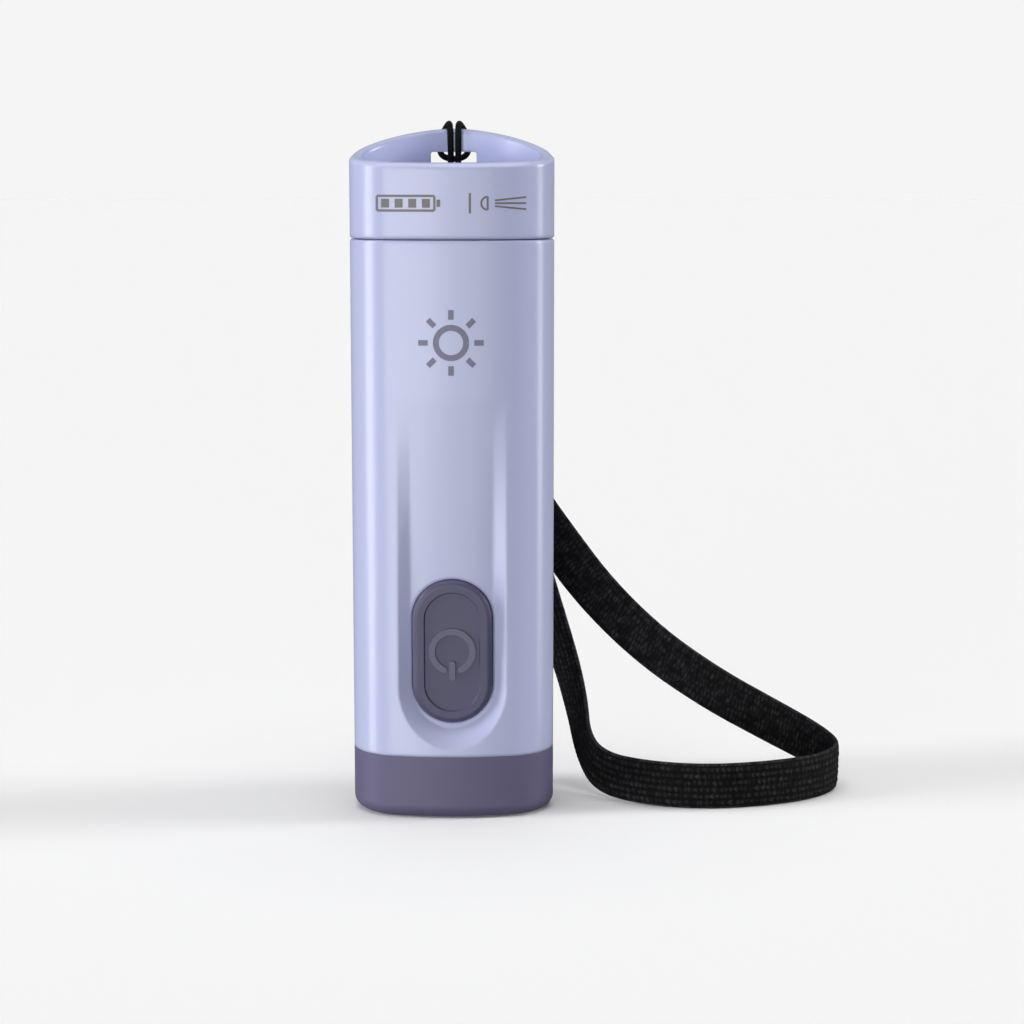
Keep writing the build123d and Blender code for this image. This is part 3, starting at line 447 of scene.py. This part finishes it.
# Share of a stitch's height that varies, and share of a rib's height that its stitches take
STITCH_VARIETY = 0.65
STITCH_SHARE = 0.65
# Powers that round a rib outside and a float inside: less is flatter
RIB_ROUNDING = 0.6
FLOAT_ROUNDING = 0.2
# Plain edge of the band, and the pitch of its overcast thread
SELVAGE = 0.35
SELVAGE_PITCH = 0.6
# How strongly the band's faces keep to the front and back where it hangs
HANG_PULL = 0.15
# The near limb is the last part of the route, from this share of its points on, and climbs from the
# table to the clamp. At each of these heights, in millimetres, its outer face points in this
# direction, in degrees from +X. The turn fades in over the heights of LIMB_BLEND.
LIMB_START = 0.6
LIMB_HEIGHTS = (5, 10, 20, 30, 40)
LIMB_FACING = (-160, -152, -139, -122, -90)
LIMB_BLEND = (3.6, 7.0)
# Neighbours on each side that the band's twist is averaged over
TWIST_SMOOTHING = 20


def knit(along, across, inner):
    """Height, 0 to 1, of the webbing's face: chevron stitches in ribs, or slanting floats inside."""
    width = (STRAP_WIDTH - 2 * SELVAGE) / WALES
    place = (across + STRAP_WIDTH / 2 - SELVAGE) / width
    wale = np.clip(np.floor(place), 0, WALES - 1)
    inside = np.clip(place - wale - 0.5, -0.5, 0.5)
    wobble = SLOW_WAVE * np.sin(along * SLOW_RATE + 2 * wale)
    wobble = wobble + QUICK_WAVE * np.sin(along * QUICK_RATE + across)
    chevron = along / STITCH + 0.5 * np.mod(wale, 2) + CHEVRON_SLANT * np.abs(inside) + wobble
    slant = along / FLOAT + FLOAT_SLANT * across + wobble
    stitch = np.where(inner, slant, chevron)
    height = 0.5 + 0.5 * np.cos(tau * stitch)
    height = height * (1 - STITCH_VARIETY * (1 - scatter(np.floor(stitch), wale, 1)))
    ridge = np.cos(pi * inside) ** np.where(inner, FLOAT_ROUNDING, RIB_ROUNDING)
    edge = np.abs(across) > STRAP_WIDTH / 2 - SELVAGE
    overcast = 0.75 + 0.2 * np.cos(tau * along / SELVAGE_PITCH)
    return np.where(edge, overcast, ridge * (1 - STITCH_SHARE * (1 - height)))


def turned_limb(points, normals):
    """The same normals, with the near limb's turned as its face is in the photograph."""
    height = points[:, 2] / MM
    near = np.arange(len(points)) > LIMB_START * len(points)
    share = near * np.interp(height, LIMB_BLEND, (0, 1))
    angle = np.arctan2(normals[:, 1], normals[:, 0])
    turn = np.radians(np.interp(height, LIMB_HEIGHTS, LIMB_FACING)) - angle
    angle = angle + share * (np.mod(turn + pi, tau) - pi)
    return np.stack([np.cos(angle), np.sin(angle), 0 * angle], axis=1)


def make_strap():
    """Flat band along the strap's route that stands on its edge on the table."""
    points, length = evenly(line_through("strap_route", STRAP_ROUTE), MM * STRAP_STEP)
    headings = tangents(points)
    hang = np.where(np.arange(len(points)) < len(points) / 2, HANG_PULL, -HANG_PULL)
    normals = np.stack([-headings[:, 1], headings[:, 0] + hang, 0 * hang], axis=1)
    normals = turned_limb(points, unit(normals))
    normals = smoothed(normals, TWIST_SMOOTHING)
    normals = unit(normals - headings * np.sum(headings * normals, axis=1, keepdims=True))
    widths = np.cross(headings, normals)
    half = STRAP_WIDTH / 2
    spread = np.sin(np.linspace(-1, 1, STRAP_FACE_POINTS) * EDGE_CROWDING)
    spread = half * spread / sin(EDGE_CROWDING)
    across = np.concatenate([spread, spread[::-1][1:-1]])[None, :]
    inner = (np.arange(across.size) >= STRAP_FACE_POINTS)[None, :]
    along = np.linspace(0, length / MM, len(points))[:, None]
    # The knit's height shapes the band, and the shader paints shade where it is low.
    relief = knit(along, across, inner)
    crown = np.sqrt(np.clip(1 - (np.abs(across) / half) ** CROWN_POWER, 0, 1))
    lift = crown * (STRAP_THICKNESS / 2 - KNIT_DEPTH * (1 - relief))
    lift = np.where(inner, -lift, lift)
    offsets = lift[..., None] * normals[:, None] + across[..., None] * widths[:, None]
    rings = points[:, None] + MM * offsets
    piece = skin("strap", [rings], yarn("strap_yarn", STRAP_YARN, STRAP_FIBRE))
    add_relief(piece, relief)
    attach(piece, "tail")
    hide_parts("lanyard_strap")


make_cord()
make_strap()

# ---------------------------------------------------------------- materials of the CAD parts

LAVENDER = paint(191, 197, 232)
DARK_PURPLE = paint(103, 99, 129)
BUTTON_PURPLE = paint(84, 81, 110)
SYMBOL_PURPLE = paint(102, 100, 126)
STEEL = paint(176, 176, 180)
# Moulded slots: colour, roughness, grain size and grain depth in millimetres, and other settings
PLASTICS = {
    "shell_plastic": (LAVENDER, 0.25, 0.3, 0.001, {"spread": 0.01, "edge": 0.6}),
    "bezel_plastic": (DARK_PURPLE, 0.5, 0.2, 0.004, {"edge": 0.3, "Specular_IOR_Level": 0.3}),
    "button_rubber": (BUTTON_PURPLE, 0.42, 0.2, 0.004, {"Specular_IOR_Level": 0.4}),
    "symbol_rubber": (SYMBOL_PURPLE, 0.5, 0.2, 0.005, {"Specular_IOR_Level": 0.5}),
    "frame_plastic": (paint(48, 48, 52), 0.5, 0.3, 0.02, {}),
    "switch_plastic": (paint(30, 30, 32), 0.35, 0.3, 0.01, {}),
    "chip_plastic": (paint(34, 34, 36), 0.55, 0.15, 0.01, {}),
    "clamp_plastic": (paint(38, 38, 41), 0.5, 0.25, 0.02, {}),
    "seal_rubber": (paint(30, 30, 31), 0.6, 0.4, 0.02, {}),
    "cell_sleeve": (paint(52, 92, 108), 0.25, 1.0, 0.01, {"Coat_Weight": 0.4}),
    "led_phosphor": (paint(232, 214, 96), 0.3, 0.2, 0.01, {"Coat_Weight": 0.8}),
}
# Metal slots: colour, roughness, and how the drawn lines are stretched along each axis (less is longer)
METALS = {
    "contact_metal": (paint(214, 186, 116), 0.25, (1, 1, 0.1)),
    "heat_spreader": (paint(200, 202, 206), 0.35, (0.1, 1, 1)),
    "reflector_mirror": (paint(236, 236, 238), 0.12, (1, 1, 1)),
    "screw_steel": (STEEL, 0.35, (1, 1, 0.2)),
    "spring_steel": (STEEL, 0.28, (0.2, 0.2, 1)),
    "cell_steel": (paint(196, 196, 198), 0.3, (1, 1, 0.05)),
}
# Board slots: solder mask and the copper that shows through it
BOARDS = {
    "board": (paint(20, 84, 48), paint(42, 118, 66)),
    "led_board": (paint(226, 226, 222), paint(206, 206, 202)),
}


def make_board(name, colour, copper):
    """Circuit board: solder mask over copper tracks, with the glass cloth just showing."""
    material, tree, shader, place = new_material(name, Coat_Weight=0.3, Coat_Roughness=0.15)
    tracks = noise(tree, place, 1.6, detail=0.0, stretch=(1, 1, 0.3))
    cloth = noise(tree, place, 0.3)
    copper_shows = between(tree, tracks, 0.0, 1.0, start=0.49, end=0.53)
    cloth_shows = between(tree, cloth, 0.0, 0.4, start=0.3, end=0.7)
    tone = mixed(tree, copper_shows, colour, copper)
    tone = mixed(tree, cloth_shows, tone, shade(colour, 0.7))
    tree.links.new(tone, shader.inputs["Base Color"])
    tree.links.new(between(tree, cloth, 0.35, 0.5), shader.inputs["Roughness"])
    bumped(tree, shader, tracks, depth=0.03, strength=0.5)
    return material


def make_lens_material():
    """Clear moulded window with faint haze from handling."""
    material, tree, shader, place = new_material(
        "lens_clear", Transmission_Weight=1.0, IOR=1.49, Specular_IOR_Level=0.5
    )
    haze = noise(tree, place, 1.5, detail=4.0)
    rough = between(tree, haze, 0.01, 0.09, start=0.45, end=0.8)
    tree.links.new(rough, shader.inputs["Roughness"])
    tone = mixed(tree, haze, (0.93, 0.96, 0.98, 1), (0.98, 0.99, 1, 1))
    tree.links.new(tone, shader.inputs["Base Color"])
    bumped(tree, shader, noise(tree, place, 4.0), depth=0.01, strength=0.3)
    return material


def make_materials():
    """One material for each material slot of the CAD parts that are shown."""
    materials = {"lens_clear": make_lens_material()}
    for name, (colour, rough, grain, depth, extra) in PLASTICS.items():
        materials[name] = plastic(name, colour, rough, grain, depth, **extra)
    for name, (colour, rough, stretch) in METALS.items():
        materials[name] = metal(name, colour, rough, stretch)
    for name, (colour, copper) in BOARDS.items():
        materials[name] = make_board(name, colour, copper)
    return materials


def dress_cad_parts():
    """Give each shown CAD part the material of its slot."""
    materials = make_materials()
    for subpart in frame["record"]["subparts"]:
        material = materials.get(subpart["material_slot"])
        if material is None:
            continue
        for slot in NODES[subpart["node"]].material_slots:
            slot.material = material


dress_cad_parts()

# ---------------------------------------------------------------- printed marks

# The front of the section, as in the CAD script: a broad arc and two corner arcs
FRONT_R = 34.0
FRONT_CENTRE_Y = 24.55
CORNER_R = 7.0
CORNER_X = 6.0
CORNER_Y = -1.775
FRONT_ARC_END_X = 7.556
INK_THICKNESS = 0.02
INK_STEP = 0.3
RING_STEP = 10

# The lamp mark on the body: its centre as (x, z), its ring and its rays
LAMP_CENTRE = (0.0, 61.2)
LAMP_RING_R = 1.9
LAMP_RING_STROKE = 0.75
RAYS = 8
RAY_SPAN = (2.9, 4.1)
RAY_STROKE = 0.7

# The row of marks on the tail cap: a battery, a divider, and a lens with its fan of light
ROW_Z = 78.5
ROW_HALF = 0.9
BATTERY_SPAN = (-9.2, -2.0)
BATTERY_STROKE = 0.3
CHARGE_PLACES = (-8.15, -6.45, -4.75, -3.05)
CHARGE_STROKE = 1.0
CHARGE_GAP = 0.35
NUB_X = -1.5
NUB_HALF = 0.45
NUB_STROKE = 0.45
DIVIDER_X = 2.4
DIVIDER_HALF = 1.25
DIVIDER_STROKE = 0.28
LENS_X = 4.6
LENS_R = 0.8
LENS_STROKE = 0.25
FAN_SPAN = (5.5, 9.4)
FAN_SPREAD = (0.35, 0.75)
FAN_STROKE = 0.22


def front_y(x):
    """Y of the body's front at that X, in millimetres."""
    side = np.abs(x)
    broad = FRONT_CENTRE_Y - np.sqrt(FRONT_R**2 - x**2)
    corner = CORNER_Y - np.sqrt(np.clip(CORNER_R**2 - (side - CORNER_X) ** 2, 0, None))
    return np.where(side < FRONT_ARC_END_X, broad, corner)


def stroke(points, width):
    """Rings of a thin printed line of that width along (x, z) points, wrapped on the front."""
    path, _ = evenly(np.array([(x, 0.0, z) for x, z in points], dtype=float), INK_STEP)
    headings = tangents(path)
    sides = np.stack([headings[:, 2], 0 * headings[:, 0], -headings[:, 0]], axis=1) * width / 2
    edges = [path - sides, path + sides, path + sides, path - sides]
    lifts = (INK_THICKNESS, INK_THICKNESS, -INK_THICKNESS, -INK_THICKNESS)
    rings = np.stack(edges, axis=1)
    rings[..., 1] = front_y(rings[..., 0]) - np.array(lifts)[None, :]
    return MM * rings


def ring_points(centre, radius, start=0, end=360):
    """Points round a circle, in degrees from start to end."""
    x, z = centre
    turns = [radians(angle) for angle in range(start, end + 1, RING_STEP)]
    return [(x + radius * cos(turn), z + radius * sin(turn)) for turn in turns]


def make_lamp_mark(material):
    """A plain sun: a ring with rays."""
    x, z = LAMP_CENTRE
    grids = [stroke(ring_points(LAMP_CENTRE, LAMP_RING_R), LAMP_RING_STROKE)]
    for i in range(RAYS):
        turn = tau * i / RAYS
        ray = [(x + reach * cos(turn), z + reach * sin(turn)) for reach in RAY_SPAN]
        grids.append(stroke(ray, RAY_STROKE))
    return skin("lamp_mark", grids, material, smooth=False)


def make_tail_mark(material):
    """Plain symbols in a row: a battery with four cells, a divider and a fan of light."""
    left, right = BATTERY_SPAN
    low, high = ROW_Z - ROW_HALF, ROW_Z + ROW_HALF
    outline = [(left, low), (right, low), (right, high), (left, high), (left, low)]
    grids = [stroke(pair, BATTERY_STROKE) for pair in zip(outline, outline[1:])]
    for x in CHARGE_PLACES:
        grids.append(stroke([(x, low + CHARGE_GAP), (x, high - CHARGE_GAP)], CHARGE_STROKE))
    grids.append(stroke([(NUB_X, ROW_Z - NUB_HALF), (NUB_X, ROW_Z + NUB_HALF)], NUB_STROKE))
    divider = [(DIVIDER_X, ROW_Z - DIVIDER_HALF), (DIVIDER_X, ROW_Z + DIVIDER_HALF)]
    grids.append(stroke(divider, DIVIDER_STROKE))
    grids.append(stroke(ring_points((LENS_X, ROW_Z), LENS_R, 90, 270), LENS_STROKE))
    grids.append(stroke([(LENS_X, ROW_Z - LENS_R), (LENS_X, ROW_Z + LENS_R)], LENS_STROKE))
    for side in (-1, 0, 1):
        beam = [(x, ROW_Z + side * rise) for x, rise in zip(FAN_SPAN, FAN_SPREAD)]
        grids.append(stroke(beam, FAN_STROKE))
    return skin("tail_mark", grids, material, smooth=False)


def make_marks():
    """Ink symbols on the body and on the tail cap."""
    body_ink = plastic("body_ink", paint(124, 124, 152), 0.5, 0.1, 0.008, spread=0.03)
    tail_ink = plastic("tail_ink", paint(118, 114, 112), 0.45, 0.1, 0.008, spread=0.03)
    lamp = make_lamp_mark(body_ink)
    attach(lamp, "body")
    row = make_tail_mark(tail_ink)
    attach(row, "tail")


make_marks()

# ---------------------------------------------------------------- floor, backdrop and lights

FLOOR_HALF = 10.0
FLOOR_GREY = 0.95
FLOOR_GLOW = 0.06
WALL_R = 5.0
WALL_HEIGHT = 10.0
WALL_GLOW = 0.913
WALL_SIDES = 48
WHITE = (1, 1, 1, 1)
# Strength of the surroundings in front of the flashlight and straight behind it, and the cosines of
# the angle from straight behind between which it changes
WORLD_LIGHT = (0.018, 0.27)
WORLD_FADE = (0.2, 1.0)
# Name, azimuth, elevation and width in degrees, and strength. Those with a negative elevation make
# the body's highlights. They shine up through the floor, which stops no light.
SOFTBOXES = [
    ("left_low_strip", -79, -5, 22, 0.8),
    ("left_strip", -79, 24, 18, 1.15),
    ("front_left_softbox", -25, -3, 34, 1.2),
    ("front_softbox", 2, -3, 30, 0.6),
    ("right_low_strip", 96, -5, 14, 0.28),
    ("right_strip", 96, 17, 18, 1.7),
    ("ceiling", 0, 88, 60, 1.6),
]


def stage_mesh(name, vertices, faces, material):
    """A stage object, which casts no light or shadow and isn't seen in reflections."""
    mesh = bpy.data.meshes.new(name)
    mesh.from_pydata(vertices, [], faces)
    piece = bpy.data.objects.new(name, mesh)
    bpy.context.collection.objects.link(piece)
    piece.data.materials.append(material)
    piece.visible_diffuse = False
    piece.visible_glossy = False
    piece.visible_shadow = False


def floor_material():
    """Pale matt floor that shows shadows, and is clear from below."""
    material = bpy.data.materials.new("floor")
    material.use_nodes = True
    tree = material.node_tree
    tree.nodes.clear()
    grey = add(tree, "BsdfDiffuse", {"Color": (FLOOR_GREY, FLOOR_GREY, FLOOR_GREY, 1)}).outputs[0]
    glow = add(tree, "Emission", {"Color": WHITE, "Strength": FLOOR_GLOW}).outputs[0]
    both = add(tree, "AddShader", {0: grey, 1: glow}).outputs[0]
    clear = add(tree, "BsdfTransparent").outputs[0]
    choice = add(tree, "MixShader", {"Fac": add(tree, "NewGeometry").outputs["Backfacing"]})
    tree.links.new(both, choice.inputs[1])
    tree.links.new(clear, choice.inputs[2])
    output = add(tree, "OutputMaterial")
    tree.links.new(choice.outputs[0], output.inputs["Surface"])
    return material


def wall_material():
    """Evenly bright backdrop."""
    material = bpy.data.materials.new("backdrop")
    material.use_nodes = True
    tree = material.node_tree
    tree.nodes.clear()
    glow = add(tree, "Emission", {"Color": WHITE, "Strength": WALL_GLOW}).outputs[0]
    output = add(tree, "OutputMaterial")
    tree.links.new(glow, output.inputs["Surface"])
    return material


def make_stage():
    """A square floor and a round backdrop beyond it."""
    corners = [(-1, -1), (1, -1), (1, 1), (-1, 1)]
    floor = [(FLOOR_HALF * x, FLOOR_HALF * y, 0) for x, y in corners]
    stage_mesh("floor", floor, [(0, 1, 2, 3)], floor_material())
    wall = []
    for i in range(WALL_SIDES):
        turn = tau * i / WALL_SIDES
        wall += [(WALL_R * cos(turn), WALL_R * sin(turn), z) for z in (0, WALL_HEIGHT)]
    count = len(wall)
    faces = [(i, (i + 2) % count, (i + 3) % count, i + 1) for i in range(0, count, 2)]
    stage_mesh("backdrop", wall, faces, wall_material())


def make_sun(name, azimuth, elevation, angle, strength):
    """A wide, soft light from a compass direction (0 is the camera's side, -90 its left)."""
    data = bpy.data.lights.new(name, "SUN")
    data.angle = radians(angle)
    data.energy = strength
    sun = bpy.data.objects.new(name, data)
    turn, rise = radians(azimuth), radians(elevation)
    towards = Vector((sin(turn) * cos(rise), -cos(turn) * cos(rise), sin(rise)))
    sun.rotation_euler = towards.to_track_quat("Z", "Y").to_euler()
    bpy.context.collection.objects.link(sun)


def make_world():
    """Weak surrounding light, strongest from behind the flashlight."""
    world = bpy.data.worlds.new("studio")
    world.use_nodes = True
    tree = world.node_tree
    background = tree.nodes["Background"]
    place = add(tree, "TexCoord").outputs["Generated"]
    facing = add(tree, "VectorMath", {0: place, 1: (0, 1, 0)}, operation="DOT_PRODUCT")
    strength = between(tree, facing.outputs["Value"], *WORLD_LIGHT, *WORLD_FADE)
    tree.links.new(strength, background.inputs["Strength"])
    background.inputs["Color"].default_value = WHITE
    bpy.context.scene.world = world


make_stage()
make_world()
for softbox in SOFTBOXES:
    make_sun(*softbox)
bpy.context.scene.view_settings.view_transform = "Standard"
